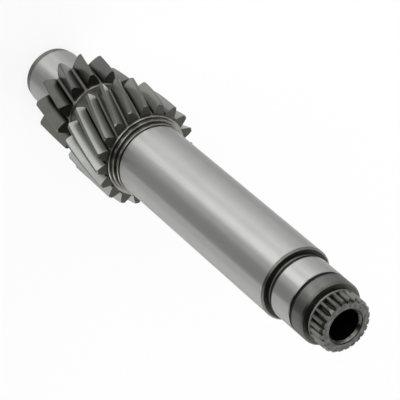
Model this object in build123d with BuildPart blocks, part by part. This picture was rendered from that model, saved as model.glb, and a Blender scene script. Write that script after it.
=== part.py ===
from build123d import *
from math import acos, atan, cos, pi, radians, sin, tan
import os

# Gearbox countershaft, one forging. It stands on the end of its short journal, with the splined
# end up. Z runs along the axis, radii and lengths are in millimetres and angles in degrees.

# Short journal at the lower end
stub_radius = 28.8
stub_length = 48.9
stub_lead_in = 7.5
stub_lead_in_depth = 1.3
centre_radius = 4.0
centre_depth = 12.0
centre_rim_radius = 8.0

# Small gear
small_teeth = 12
small_module = 5.75
small_helix = 11.5
small_shift = 3.45
small_addendum = 5.75
small_dedendum = 6.9
small_width = 40.0
small_tooth_angle = -92.7

# Neck between the gears, with a collar that is just proud of the small gear's roots
collar_step = 0.3
collar_length = 2.8
collar_chamfer = 0.9
neck_radius = 30.6
neck_length = 26.2

# Large gear
large_teeth = 19
large_module = 4.5
large_helix = 17.0
large_shift = 2.25
large_addendum = 3.96
large_dedendum = 6.53
large_width = 58.0
large_tooth_angle = -93.3

# Both gears
pressure_angle = 20.0
tip_chamfer = 1.1

# Rings between the large gear and the main seat, from the gear up
hub_step = 0.4
hub_length = 2.6
hub_chamfer = 0.5
upper_groove_radius = 36.2
upper_groove_length = 0.9
wide_ring_radius = 38.1
wide_ring_length = 3.5
middle_groove_radius = 34.6
middle_groove_length = 1.8
thin_ring_radius = 35.9
thin_ring_length = 2.7
ring_chamfer = 0.4
lower_groove_depth = 1.1
lower_groove_length = 1.4

# Main seat
seat_radius = 34.5
seat_length = 232.2
seat_chamfer = 1.7

# Upper journal, between its undercut and a clip groove. A low ridge parts the undercut in two.
undercut_depth = 1.6
lower_undercut_length = 2.1
ridge_height = 0.6
ridge_length = 1.2
upper_undercut_length = 3.4
journal_radius = 30.0
journal_length = 25.8
journal_chamfer = 0.6
clip_groove_depth = 1.1
clip_groove_length = 3.1

# Band above the journal and the deep groove behind the spline
band_radius = 29.8
band_length = 14.6
band_lower_chamfer = 0.8
band_upper_chamfer = 1.5
deep_groove_radius = 22.0
deep_groove_length = 3.8

# Splined end, with its full ring below the teeth
ring_behind_spline = 2.0
spline_teeth = 24
spline_module = 2.0
spline_pressure_angle = 30.0
spline_addendum = 1.1
spline_dedendum = 2.1
spline_length = 16.9
spline_bevel_depth = 2.1
spline_bevel_length = 2.1
spline_tooth_angle = -94.0

# Bore in the splined end, with a bevelled rim, a centre cone and the cone that its drill leaves
bore_radius = 14.8
bore_depth = 60.0
bore_chamfer = 0.7
bore_cone_step = 1.4
bore_cone_angle = 60.0
drill_point_angle = 118.0

# The gears' teeth reach this far into their core. From there, each side of a gap has a fillet of this
# height, which fills this share of the gap's foot.
core_inset = 0.4
fillet_height = 1.8
gear_fillet = 0.3
# Points on a flank, which lie closer together towards its foot
flank_points = 3
flank_spacing = 1.2
# How far a cutting shape runs past what it cuts
overrun = 1.0


def involute(angle):
    """The polar angle of an involute, for the angle at which it meets the radius."""
    return tan(angle) - angle


def polar(radius, angle):
    return (radius * cos(angle), radius * sin(angle))


def toothed_outline(teeth, radius, pressure, half_angle, tip_radius, foot_radius, fillet, first_angle):
    """Lines round a toothed section, from the pitch radius and a tooth's half angle there, in radians.

    The fillet is the share of a gap's foot that each side of it fills."""
    base_radius = radius * cos(pressure)
    base_half_angle = half_angle + involute(pressure)
    gap_angle = 2 * pi / teeth - 2 * base_half_angle
    flank = []
    for step in range(flank_points):
        share = (step / (flank_points - 1)) ** flank_spacing
        flank_radius = foot_radius + (tip_radius - foot_radius) * share
        flank_angle = base_half_angle - involute(acos(min(1.0, base_radius / flank_radius)))
        fillet_share = max(0.0, 1 - (flank_radius - foot_radius) / fillet_height)
        flank.append((flank_radius, flank_angle + fillet * gap_angle * fillet_share**2))
    for tooth in range(teeth):
        centre_angle = first_angle + 2 * pi * tooth / teeth
        next_angle = first_angle + 2 * pi * (tooth + 1) / teeth
        rising = [polar(flank_radius, centre_angle - flank_angle) for flank_radius, flank_angle in flank]
        falling = [polar(flank_radius, centre_angle + flank_angle) for flank_radius, flank_angle in flank]
        Spline(*rising)
        ThreePointArc(rising[-1], polar(tip_radius, centre_angle), falling[-1])
        Spline(*reversed(falling))
        Line(falling[0], polar(foot_radius, next_angle - flank[0][1]))


def pitch_radius(teeth, module, helix):
    return teeth * module / cos(radians(helix)) / 2


def helical_teeth(teeth, module, helix, shift, tip_radius, foot_radius, width, tooth_angle, level):
    """Right-hand teeth from their level up. The tooth angle is that of a tooth at the upper face."""
    radius = pitch_radius(teeth, module, helix)
    pressure = atan(tan(radians(pressure_angle)) / cos(radians(helix)))
    thickness = (module * pi / 2 + 2 * shift * tan(radians(pressure_angle))) / cos(radians(helix))
    half_angle = thickness / (2 * radius)
    lead = 2 * pi * radius / tan(radians(helix))
    first_angle = radians(tooth_angle) - 2 * pi * width / lead
    with BuildPart() as gear:
        with BuildSketch(Plane.XY.offset(level)):
            with BuildLine():
                toothed_outline(
                    teeth,
                    radius,
                    pressure,
                    half_angle,
                    tip_radius,
                    foot_radius,
                    gear_fillet,
                    first_angle,
                )
            make_face()
        with BuildLine(mode=Mode.PRIVATE) as axis:
            Line((0, 0, level), (0, 0, level + width))
        with BuildLine(mode=Mode.PRIVATE) as guide:
            Helix(pitch=lead, height=width, radius=tip_radius, center=(0, 0, level))
        sweep(path=axis.wire(), binormal=guide.wire())
        with BuildSketch(Plane.XZ):
            for end, inwards in ((level, 1), (level + width, -1)):
                with BuildLine():
                    Polyline(
                        (tip_radius - tip_chamfer - overrun, end - inwards * overrun),
                        (tip_radius + overrun, end + inwards * (tip_chamfer + overrun)),
                        (tip_radius + overrun, end - inwards * overrun),
                        close=True,
                    )
                make_face()
        revolve(axis=Axis.Z, mode=Mode.SUBTRACT)
    return gear.part


# Levels along the axis, and radii that follow the gears and the seats
small_gear_level = stub_length
large_gear_level = small_gear_level + small_width + collar_length + neck_length
small_pitch_radius = pitch_radius(small_teeth, small_module, small_helix)
small_tip_radius = small_pitch_radius + small_shift + small_addendum
small_root_radius = small_pitch_radius + small_shift - small_dedendum
large_pitch_radius = pitch_radius(large_teeth, large_module, large_helix)
large_tip_radius = large_pitch_radius + large_shift + large_addendum
large_root_radius = large_pitch_radius + large_shift - large_dedendum
collar_radius = small_root_radius + collar_step
hub_radius = large_root_radius - hub_step
spline_pitch_radius = spline_teeth * spline_module / 2
spline_tip_radius = spline_pitch_radius + spline_addendum
spline_root_radius = spline_pitch_radius - spline_dedendum
lower_groove_radius = seat_radius - lower_groove_depth
undercut_radius = journal_radius - undercut_depth
ridge_radius = undercut_radius + ridge_height
clip_groove_radius = journal_radius - clip_groove_depth
toothed_spline_length = spline_length - ring_behind_spline

# The turned shaft from the stub end up, each length with its lower radius, upper radius and length
turned_lengths = [
    (stub_radius - stub_lead_in_depth, stub_radius, stub_lead_in),
    (stub_radius, stub_radius, stub_length - stub_lead_in),
    (small_root_radius, small_root_radius, small_width),
    (collar_radius, collar_radius, collar_length - collar_chamfer),
    (collar_radius, collar_radius - collar_chamfer, collar_chamfer),
    (neck_radius, neck_radius, neck_length),
    (large_root_radius, large_root_radius, large_width),
    (hub_radius, hub_radius, hub_length - hub_chamfer),
    (hub_radius, hub_radius - hub_chamfer, hub_chamfer),
    (upper_groove_radius, upper_groove_radius, upper_groove_length),
    (wide_ring_radius, wide_ring_radius, wide_ring_length - ring_chamfer),
    (wide_ring_radius, wide_ring_radius - ring_chamfer, ring_chamfer),
    (middle_groove_radius, middle_groove_radius, middle_groove_length),
    (thin_ring_radius, thin_ring_radius, thin_ring_length - ring_chamfer),
    (thin_ring_radius, thin_ring_radius - ring_chamfer, ring_chamfer),
    (lower_groove_radius, lower_groove_radius, lower_groove_length),
    (seat_radius, seat_radius, seat_length - seat_chamfer),
    (seat_radius, seat_radius - seat_chamfer, seat_chamfer),
    (undercut_radius, undercut_radius, lower_undercut_length),
    (ridge_radius, ridge_radius, ridge_length),
    (undercut_radius, undercut_radius, upper_undercut_length),
    (journal_radius - journal_chamfer, journal_radius, journal_chamfer),
    (journal_radius, journal_radius, journal_length - 2 * journal_chamfer),
    (journal_radius, journal_radius - journal_chamfer, journal_chamfer),
    (clip_groove_radius, clip_groove_radius, clip_groove_length),
    (band_radius - band_lower_chamfer, band_radius, band_lower_chamfer),
    (band_radius, band_radius, band_length - band_lower_chamfer - band_upper_chamfer),
    (band_radius, band_radius - band_upper_chamfer, band_upper_chamfer),
    (deep_groove_radius, deep_groove_radius, deep_groove_length),
    (spline_tip_radius, spline_tip_radius, spline_length - spline_bevel_length),
    (spline_tip_radius, spline_tip_radius - spline_bevel_depth, spline_bevel_length),
]
centre_cone_depth = centre_rim_radius - centre_radius
bore_cone_radius = bore_radius + bore_cone_step
bore_cone_length = bore_cone_step / tan(radians(bore_cone_angle / 2))
drill_point_length = bore_radius / tan(radians(drill_point_angle / 2))

outline = [
    (0, centre_depth),
    (centre_radius, centre_depth),
    (centre_radius, centre_cone_depth),
    (centre_rim_radius, 0),
]
level = 0
for lower_radius, upper_radius, length in turned_lengths:
    if outline[-1] != (lower_radius, level):
        outline.append((lower_radius, level))
    level += length
    outline.append((upper_radius, level))
shaft_length = level
outline += [
    (bore_cone_radius + bore_chamfer, shaft_length),
    (bore_cone_radius, shaft_length - bore_chamfer),
    (bore_radius, shaft_length - bore_chamfer - bore_cone_length),
    (bore_radius, shaft_length - bore_depth),
    (0, shaft_length - bore_depth - drill_point_length),
]

small_gear = helical_teeth(
    small_teeth,
    small_module,
    small_helix,
    small_shift,
    small_tip_radius,
    small_root_radius - core_inset,
    small_width,
    small_tooth_angle,
    small_gear_level,
)
large_gear = helical_teeth(
    large_teeth,
    large_module,
    large_helix,
    large_shift,
    large_tip_radius,
    large_root_radius - core_inset,
    large_width,
    large_tooth_angle,
    large_gear_level,
)

with BuildPart() as countershaft:
    with BuildSketch(Plane.XZ):
        with BuildLine():
            Polyline(*outline, close=True)
        make_face()
    revolve(axis=Axis.Z)
    # The gaps of the spline
    with BuildSketch(Plane.XY.offset(shaft_length - toothed_spline_length)):
        Circle(spline_tip_radius + 2 * overrun)
        with BuildLine():
            toothed_outline(
                spline_teeth,
                spline_pitch_radius,
                radians(spline_pressure_angle),
                pi / 2 / spline_teeth,
                spline_tip_radius + overrun,
                spline_root_radius,
                0,
                radians(spline_tooth_angle),
            )
        make_face(mode=Mode.SUBTRACT)
    extrude(amount=toothed_spline_length + overrun, mode=Mode.SUBTRACT)
    add(small_gear)
    add(large_gear)
countershaft.part.label = "countershaft"

os.makedirs("parts", exist_ok=True)
export_step(countershaft.part, "parts/countershaft.step")
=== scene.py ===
import math

import bpy
from mathutils import Matrix, Vector

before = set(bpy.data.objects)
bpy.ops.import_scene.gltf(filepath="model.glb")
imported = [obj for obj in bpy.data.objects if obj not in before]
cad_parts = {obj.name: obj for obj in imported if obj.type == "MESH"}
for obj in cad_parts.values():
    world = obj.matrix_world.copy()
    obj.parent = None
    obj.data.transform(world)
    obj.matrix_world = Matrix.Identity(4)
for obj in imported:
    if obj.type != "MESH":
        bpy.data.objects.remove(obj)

bpy.context.view_layer.update()
scene = bpy.context.scene
scene.view_settings.view_transform = "Standard"

# The shaft's levels along its axis, in millimetres, from the short end up, as the solid has them
LEAD_IN_TOP = 7.5
STUB_TOP = 48.9
SMALL_TOP = 88.9
COLLAR_TOP = 91.7
NECK_TOP = 117.9
LARGE_TOP = 175.9
RINGS_TOP = 188.8
SEAT_BEVEL_BOTTOM = 419.3
SEAT_TOP = 421.0
UNDERCUT_TOP = 427.7
JOURNAL_TOP = 453.5
SLIT_TOP = 456.6
BAND_TOP = 471.2
GROOVE_TOP = 475.0
# The top of a painted highlight along the spline's lower edge, not a level of the solid
HIGHLIGHT_TOP = 475.9
SHAFT_TOP = 491.9

# Camera, in metres: where it stands, the point that it looks at, its roll and its lens
CAMERA_PLACE = Vector((0.0, -1.34271, 1.65412))
CAMERA_AIM = Vector((-0.000894, 0.0, 0.268511))
CAMERA_ROLL = math.radians(130.632)
CAMERA_LENS = 198.0


def make_camera():
    data = bpy.data.cameras.new("camera")
    data.sensor_width = 36.0
    data.lens = CAMERA_LENS
    data.clip_start = 0.05
    data.clip_end = 50.0
    camera = bpy.data.objects.new("camera", data)
    scene.collection.objects.link(camera)
    forward = (CAMERA_AIM - CAMERA_PLACE).normalized()
    level_right = forward.cross(Vector((0, 0, 1))).normalized()
    level_up = level_right.cross(forward)
    right = level_right * math.cos(CAMERA_ROLL) + level_up * math.sin(CAMERA_ROLL)
    up = level_up * math.cos(CAMERA_ROLL) - level_right * math.sin(CAMERA_ROLL)
    turn = Matrix((right, up, -forward)).transposed().to_4x4()
    camera.matrix_world = Matrix.Translation(CAMERA_PLACE) @ turn
    scene.camera = camera


make_camera()


class Nodes:
    """A short way to write a material's nodes."""

    def __init__(self, name):
        self.material = bpy.data.materials.new(name)
        self.material.use_nodes = True
        self.tree = self.material.node_tree
        self.shader = self.tree.nodes["Principled BSDF"]

    def add(self, kind, values=(), **settings):
        """A new node. A value for one of its inputs is a constant, or the output that feeds it."""
        node = self.tree.nodes.new(kind)
        for key, value in settings.items():
            setattr(node, key, value)
        for key, value in dict(values).items():
            if hasattr(value, "is_output"):
                self.tree.links.new(value, node.inputs[key])
            else:
                node.inputs[key].default_value = value
        return node

    def link(self, output, name):
        self.tree.links.new(output, self.shader.inputs[name])


# A Mix node's sockets have the same names for each type of value, so they are taken by their place
MIX_SHARE = 0
MIX_NUMBERS = (2, 3)
MIX_COLOURS = (6, 7)
MIXED_NUMBER = 0
MIXED_COLOUR = 2

# Most of a noise lies between these values
NOISE_LOW = 0.3
NOISE_HIGH = 0.7

# The scale of the streaks along the shaft, which is fine across it and coarse along it
STREAK_SCALE = (450, 450, 3)

# The height of marks at full strength, in metres
MARK_HEIGHT = 0.00002

# Turns the drawn-out gloss across marks that run round the axis
QUARTER_TURN = 0.25


def mix_numbers(nodes, share, first, second):
    one, other = MIX_NUMBERS
    mix = nodes.add("ShaderNodeMix", {MIX_SHARE: share, one: first, other: second})
    return mix.outputs[MIXED_NUMBER]


def mix_colours(nodes, share, first, second):
    one, other = MIX_COLOURS
    values = {MIX_SHARE: share, one: first, other: second}
    mix = nodes.add("ShaderNodeMix", values, data_type="RGBA")
    return mix.outputs[MIXED_COLOUR]


def spread(nodes, value, low, high):
    """A value of 0 to 1 brought to low to high."""
    values = {"Value": value, "To Min": low, "To Max": high}
    return nodes.add("ShaderNodeMapRange", values).outputs[0]


def share_of(nodes, value, low, high, **settings):
    """A value of low to high brought to 0 to 1."""
    values = {"Value": value, "From Min": low, "From Max": high}
    return nodes.add("ShaderNodeMapRange", values, **settings).outputs[0]


def object_place(nodes):
    return nodes.add("ShaderNodeTexCoord").outputs["Object"]


def scaled(nodes, place, scale):
    return nodes.add("ShaderNodeVectorMath", {0: place, 1: scale}, operation="MULTIPLY").outputs[0]


def noise(nodes, place, scale, detail):
    values = {"Vector": place, "Scale": scale, "Detail": detail}
    return nodes.add("ShaderNodeTexNoise", values).outputs["Fac"]


def marks_and_lightness(nodes, along, around, blotch, patch, streaks=0.0):
    """Two values: the marks of a tool or a wheel, and how light the steel is, from 0 to 1.

    A higher along or around makes the marks finer in that direction. The lightness follows them
    and, by the share of blotch, broad clouds, which a higher patch makes smaller. By the share
    of streaks, the clouds are drawn out along the shaft."""
    place = object_place(nodes)
    marks = noise(nodes, scaled(nodes, place, (around, around, along)), scale=1.0, detail=3.0)
    clouds = noise(nodes, place, patch, detail=4.0)
    if streaks:
        lines = noise(nodes, scaled(nodes, place, STREAK_SCALE), scale=1.0, detail=2.0)
        clouds = mix_numbers(nodes, streaks, clouds, lines)
    lightness = mix_numbers(nodes, blotch, marks, clouds)
    return marks, share_of(nodes, lightness, NOISE_LOW, NOISE_HIGH)


def bare_metal(nodes, colour, lightness, marks, rough, vary, bump):
    """Sets the shader to metal of this colour, which is rougher where it is lighter, by a share
    of vary at most."""
    nodes.link(colour, "Base Color")
    nodes.link(spread(nodes, lightness, rough * (1 - vary), rough * (1 + vary)), "Roughness")
    values = {"Height": marks, "Strength": bump, "Distance": MARK_HEIGHT}
    nodes.link(nodes.add("ShaderNodeBump", values).outputs[0], "Normal")
    nodes.shader.inputs["Metallic"].default_value = 1.0


# The materials by name, in the order of the mesh's slots
MATERIALS = {}


def steel(
    name, dark, light, rough, along, around, bump, blotch,
    gloss=0.0, vary=0.12, painted_highlight=None, streaks=0.0, patch=45.0,
):
    """Bare steel, from its darker to its lighter colour.

    Above 0, gloss draws the reflections out across the marks. Where a painted highlight is given,
    as two heights in millimetres and a colour, the steel has that colour at the first height and
    none of it from the second. The rest is as in marks_and_lightness and bare_metal."""
    nodes = Nodes(name)
    marks, lightness = marks_and_lightness(nodes, along, around, blotch, patch, streaks)
    colour = mix_colours(nodes, lightness, dark, light)
    # A painted highlight: a pale band that fades out from the first height to the second
    if painted_highlight:
        start, end, highlight_colour = painted_highlight
        height = nodes.add("ShaderNodeSeparateXYZ", {0: object_place(nodes)}).outputs["Z"]
        share = share_of(nodes, height, start / 1000, end / 1000)
        colour = mix_colours(nodes, share, highlight_colour, colour)
    bare_metal(nodes, colour, lightness, marks, rough, vary, bump)
    if gloss:
        nodes.shader.inputs["Anisotropic"].default_value = gloss
        nodes.shader.inputs["Anisotropic Rotation"].default_value = QUARTER_TURN
        tangent = nodes.add("ShaderNodeTangent", direction_type="RADIAL", axis="Z")
        nodes.link(tangent.outputs[0], "Tangent")
    MATERIALS[name] = nodes.material


def axis_distance(nodes):
    """The distance from the shaft's axis, in metres."""
    flat = scaled(nodes, object_place(nodes), (1, 1, 0))
    return nodes.add("ShaderNodeVectorMath", {0: flat}, operation="LENGTH").outputs["Value"]


def flank_steel(name, dark_radius, bright_radius, dark, light, foot_shade, rough):
    """A tooth flank with painted shade at its foot: it has the foot's dark colour up to one
    radius, in millimetres, and from the other is steel from its darker to its lighter colour."""
    nodes = Nodes(name)
    marks, lightness = marks_and_lightness(
        nodes, along=300, around=2500, blotch=0.75, patch=60.0,
    )
    flank = mix_colours(nodes, lightness, dark, light)
    # Painted shade: the flank darkens towards its foot, between the teeth
    height = share_of(
        nodes, axis_distance(nodes), dark_radius / 1000, bright_radius / 1000,
        interpolation_type="SMOOTHSTEP",
    )
    colour = mix_colours(nodes, height, foot_shade, flank)
    bare_metal(nodes, colour, lightness, marks, rough, vary=0.04, bump=0.02)
    MATERIALS[name] = nodes.material


def grey(value, red=1.0, blue=0.9):
    """A grey that leans to red or away from blue."""
    return (value * red, value, value * blue, 1)


# Marks of the tools: how fine they are along the axis and around it, and how deep
GROUND = {"along": 2600, "around": 14, "bump": 0.05}
FINE_TURNED = {"along": 1800, "around": 20, "bump": 0.15}
TURNED = {"along": 1500, "around": 30, "bump": 0.2}
HOBBED = {"along": 900, "around": 500, "bump": 0.2}
FACED = {"along": 1500, "around": 700, "bump": 0.2}

steel(
    "ground", grey(0.325, 0.985, 0.97), grey(0.38, 0.995, 0.96), rough=0.4,
    blotch=0.8, gloss=1.0, vary=0.05, streaks=0.6, **GROUND,
)
steel("bevel", grey(0.16), grey(0.209), rough=0.5, blotch=0.3, gloss=0.9, **FINE_TURNED)
steel("lead_in", grey(0.128), grey(0.159), rough=0.5, blotch=0.3, gloss=0.9, **FINE_TURNED)
steel(
    "band", grey(0.105, blue=0.93), grey(0.175, blue=0.93), rough=0.5,
    blotch=0.7, gloss=0.97, patch=140.0, **FINE_TURNED,
)
# Painted light: on each gear, the flanks on one side of the teeth are coloured lighter than those
# on the other side, for how the light falls on them
flank_steel("small_lit_flank", 33.0, 37.0, grey(0.12), grey(0.16), foot_shade=grey(0.019), rough=0.3)
flank_steel("small_shaded_flank", 33.0, 36.0, grey(0.095), grey(0.127), foot_shade=grey(0.018), rough=0.3)
flank_steel(
    "large_lit_flank", 41.4, 43.2, grey(0.37, 0.98, 0.94), grey(0.41, 0.98, 0.94),
    foot_shade=grey(0.03), rough=0.35,
)
flank_steel("large_shaded_flank", 41.4, 43.2, grey(0.195), grey(0.227), foot_shade=grey(0.016), rough=0.28)
steel("land", grey(0.088), grey(0.146), rough=0.45, blotch=0.5, **HOBBED)
steel("root", grey(0.098), grey(0.133), rough=0.4, blotch=0.5, **HOBBED)
# Painted shade: the tooth ends are coloured dark for the shade on them
steel("small_ends", grey(0.03), grey(0.06), rough=0.5, blotch=0.5, **FACED)
steel("large_ends", grey(0.048), grey(0.09), rough=0.5, blotch=0.5, **FACED)
steel(
    "rings", grey(0.09, 1.15, 0.76), grey(0.23, 1.0, 0.92), rough=0.32,
    blotch=0.7, gloss=0.5, patch=120.0, **TURNED,
)
# Painted highlight: the rings' chamfers are coloured lighter so that they show as bright lines at
# the edges
steel(
    "ring_edge", grey(0.3, 1.0, 0.94), grey(0.45, 1.0, 0.94), rough=0.3,
    blotch=0.5, gloss=0.5, **TURNED,
)
# Painted shade: the slit and the grooves are coloured near black for the shade in them
steel("slit", grey(0.01), grey(0.02), rough=0.5, blotch=0.5, gloss=0.5, patch=140.0, **TURNED)
steel("groove", grey(0.024), grey(0.046), rough=0.5, blotch=0.5, gloss=0.5, patch=140.0, **TURNED)
steel(
    "deep_groove", grey(0.05), grey(0.09), rough=0.5,
    blotch=0.5, gloss=0.5, patch=140.0, **TURNED,
)
steel("ridge", grey(0.21), grey(0.31), rough=0.4, blotch=0.3, gloss=0.5, **TURNED)
steel("neck", grey(0.066), grey(0.133), rough=0.5, blotch=0.5, gloss=0.3, **TURNED)
# A painted highlight: a pale band at the foot of the spline, fading out upwards, stands for a
# glint on its edge
steel(
    "spline", grey(0.07), grey(0.16), rough=0.35, painted_highlight=(GROOVE_TOP, HIGHLIGHT_TOP, grey(0.5)),
    blotch=0.7, patch=300.0, along=900, around=600, bump=0.3,
)
# Painted shade: the spline's gaps darken towards their floors
flank_steel("spline_gap", 22.0, 23.8, grey(0.17), grey(0.25), foot_shade=grey(0.03), rough=0.33)
steel(
    "face", grey(0.035, blue=0.93), grey(0.14, blue=0.93), rough=0.45,
    blotch=0.9, patch=260.0, along=700, around=900, bump=0.3,
)
steel(
    "cone", grey(0.13), grey(0.17), rough=0.34,
    blotch=0.3, gloss=0.7, along=1500, around=30, bump=0.1,
)
# Painted shade: the bore is coloured near black for the shade inside it
steel("bore", grey(0.019), grey(0.039), rough=0.45, blotch=0.3, along=900, around=60, bump=0.2)

# Limits between zones, in millimetres. The margin puts a flat face that lies in a level on the
# right side of it, and the least radius lets a face on the axis be divided by it.
MARGIN = 0.05
TOP_FACE_BOTTOM = SHAFT_TOP - 0.1
SPLINE_BEVEL_BOTTOM = SHAFT_TOP - 2.2
SPLINE_TIP_RADIUS = 24.9
BORE_BOTTOM = 400
BORE_RADIUS = 17.5
CONE_BOTTOM = SHAFT_TOP - 3.2
CONE_TOP = SHAFT_TOP - 0.7
RIDGE_RADII = (28.8, 29.2)
LARGE_LAND_RADIUS = 48
SMALL_LAND_RADIUS = 42
CENTRE_HOLE_RADIUS = 12
LEAST_RADIUS = 1e-6

# Limits of a normal's parts along the axis and out from it
ALONG_AXIS = 0.95
EDGE_SLANT = 0.3
OFF_AXIS = 0.9
LAND_OFF_AXIS = 0.85
TIP_BEVEL_SLANT = 0.4


def zone(height, radius, up, out, side):
    """The material of a face at this height and radius in millimetres.

    The rest is the face's normal: its part up the axis, out from it and round it."""
    if height > TOP_FACE_BOTTOM:
        return "face"
    if radius < BORE_RADIUS and height > BORE_BOTTOM:
        return "cone" if CONE_BOTTOM < height < CONE_TOP else "bore"
    if height > GROOVE_TOP:
        tip = radius > SPLINE_TIP_RADIUS or height > SPLINE_BEVEL_BOTTOM
        return "spline" if tip or out < -OFF_AXIS else "spline_gap"
    if height > BAND_TOP - MARGIN:
        return "deep_groove"
    if height > SLIT_TOP:
        return "band"
    if height > JOURNAL_TOP - MARGIN:
        return "slit"
    if height > UNDERCUT_TOP:
        return "ground"
    if height > SEAT_TOP - MARGIN:
        low_radius, high_radius = RIDGE_RADII
        return "ridge" if out > OFF_AXIS and low_radius < radius < high_radius else "groove"
    if height > SEAT_BEVEL_BOTTOM:
        return "bevel"
    if height > RINGS_TOP:
        return "ground"
    if height > LARGE_TOP + MARGIN:
        return "ring_edge" if EDGE_SLANT < abs(up) < ALONG_AXIS else "rings"
    if height > NECK_TOP - MARGIN:
        return tooth_zone("large", radius > LARGE_LAND_RADIUS, up, out, side)
    if height > COLLAR_TOP:
        return "neck"
    if height > SMALL_TOP + MARGIN:
        return "rings"
    if height > STUB_TOP - MARGIN:
        return tooth_zone("small", radius > SMALL_LAND_RADIUS, up, out, side)
    if height < MARGIN or radius < CENTRE_HOLE_RADIUS:
        return "face"
    return "ground" if height > LEAD_IN_TOP else "lead_in"


def tooth_zone(gear, outer, up, out, side):
    """Painted light: the flanks on one side of each tooth are coloured lighter and the ones on the
    other side darker, for how the light falls on them.
    """
    # Painted shade: the tooth ends get the darkened colours of the ends materials
    if abs(up) > ALONG_AXIS:
        return f"{gear}_ends"
    if out > LAND_OFF_AXIS or (out > TIP_BEVEL_SLANT and up < -TIP_BEVEL_SLANT):
        return "land" if outer else "root"
    return f"{gear}_lit_flank" if side > 0 else f"{gear}_shaded_flank"


def dress(node):
    """Gives each face of the node the material of its zone."""
    mesh = node.data
    mesh.materials.clear()
    order = list(MATERIALS)
    for name in order:
        mesh.materials.append(MATERIALS[name])
    for polygon in mesh.polygons:
        centre, normal = polygon.center * 1000, polygon.normal
        radius = max(math.hypot(centre.x, centre.y), LEAST_RADIUS)
        out = (normal.x * centre.x + normal.y * centre.y) / radius
        side = (normal.x * centre.y - normal.y * centre.x) / radius
        polygon.material_index = order.index(zone(centre.z, radius, normal.z, out, side))


dress(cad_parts["countershaft"])

# How much of the floor's look is plain white, and how far it reaches, in metres
FLOOR_WHITE = 0.78
FLOOR_REACH = 6.0


def floor_paint():
    """Matt pale paint. What looks at it sees it mostly as plain white, and the rest keeps the
    shaft's shadow."""
    nodes = Nodes("floor")
    nodes.shader.inputs["Base Color"].default_value = (0.9, 0.9, 0.9, 1)
    nodes.shader.inputs["Roughness"].default_value = 0.9
    nodes.shader.inputs["Specular IOR Level"].default_value = 0.0
    path = nodes.add("ShaderNodeLightPath").outputs
    seen = path["Is Camera Ray"]
    for ray in ("Is Glossy Ray", "Is Transmission Ray"):
        seen = nodes.add("ShaderNodeMath", {0: seen, 1: path[ray]}, operation="MAXIMUM").outputs[0]
    share = spread(nodes, seen, 0.0, FLOOR_WHITE)
    white = nodes.add("ShaderNodeEmission", {"Color": (1, 1, 1, 1), "Strength": 1.0})
    values = {0: share, 1: nodes.shader.outputs[0], 2: white.outputs[0]}
    mix = nodes.add("ShaderNodeMixShader", values)
    nodes.tree.links.new(mix.outputs[0], nodes.tree.nodes["Material Output"].inputs["Surface"])
    return nodes.material


def make_floor(reach):
    mesh = bpy.data.meshes.new("floor")
    corners = [(-reach, -reach, 0), (reach, -reach, 0), (reach, reach, 0), (-reach, reach, 0)]
    mesh.from_pydata(corners, [], [(0, 1, 2, 3)])
    floor = bpy.data.objects.new("floor", mesh)
    scene.collection.objects.link(floor)
    mesh.materials.append(floor_paint())


make_floor(FLOOR_REACH)

# Softboxes in rings round the shaft, at this distance in metres from the middle of it. Each ring
# has its elevation, its boxes' size, and then the azimuth and the watts of each. The azimuth
# runs from the camera's side towards -X.
SOFTBOX_DISTANCE = 2.0
SHAFT_MIDDLE = Vector((0, 0, 0.25))
SOFTBOXES = (
    (8, (0.35, 0.5), (
        (-105, 1.3), (-95, 2.0), (-85, 2.9), (-75, 2.2), (-65, 2.8),
        (-15, 0.4), (-5, 0.6), (5, 6.8), (15, 7.6), (25, 5.7),
    )),
    (8, (0.7, 0.5), (
        (-140, 2.8), (40, 10.9), (60, 7.5), (80, 4.4), (100, 1.4), (140, 2.0),
    )),
    (28, (0.7, 1.0), (
        (-170, 2.3), (-150, 2.6), (-130, 4.1), (-110, 4.1), (-10, 2.5),
        (50, 2.3), (130, 5.1), (150, 2.5), (170, 4.0),
    )),
    (55, (0.8, 0.9), (
        (-170, 3.9), (-130, 1.3), (-10, 4.6), (10, 3.8),
        (50, 1.2), (110, 3.0), (130, 2.9), (170, 2.1),
    )),
)


def softbox(azimuth, elevation, size, watts):
    name = f"softbox_{azimuth}_{elevation}"
    data = bpy.data.lights.new(name, "AREA")
    data.shape = "RECTANGLE"
    data.size, data.size_y = size
    data.energy = watts
    lamp = bpy.data.objects.new(name, data)
    scene.collection.objects.link(lamp)
    turn, tilt = math.radians(azimuth), math.radians(elevation)
    out = Vector((
        -math.sin(turn) * math.cos(tilt), -math.cos(turn) * math.cos(tilt), math.sin(tilt),
    ))
    lamp.location = SHAFT_MIDDLE + out * SOFTBOX_DISTANCE
    lamp.rotation_euler = (-out).to_track_quat("-Z", "Y").to_euler()
    lamp.visible_camera = False


for elevation, size, lamps in SOFTBOXES:
    for azimuth, watts in lamps:
        softbox(azimuth, elevation, size, watts)

# The softboxes give all the light
world = bpy.data.worlds.new("studio")
scene.world = world
world.use_nodes = True
world.node_tree.nodes["Background"].inputs["Strength"].default_value = 0.0
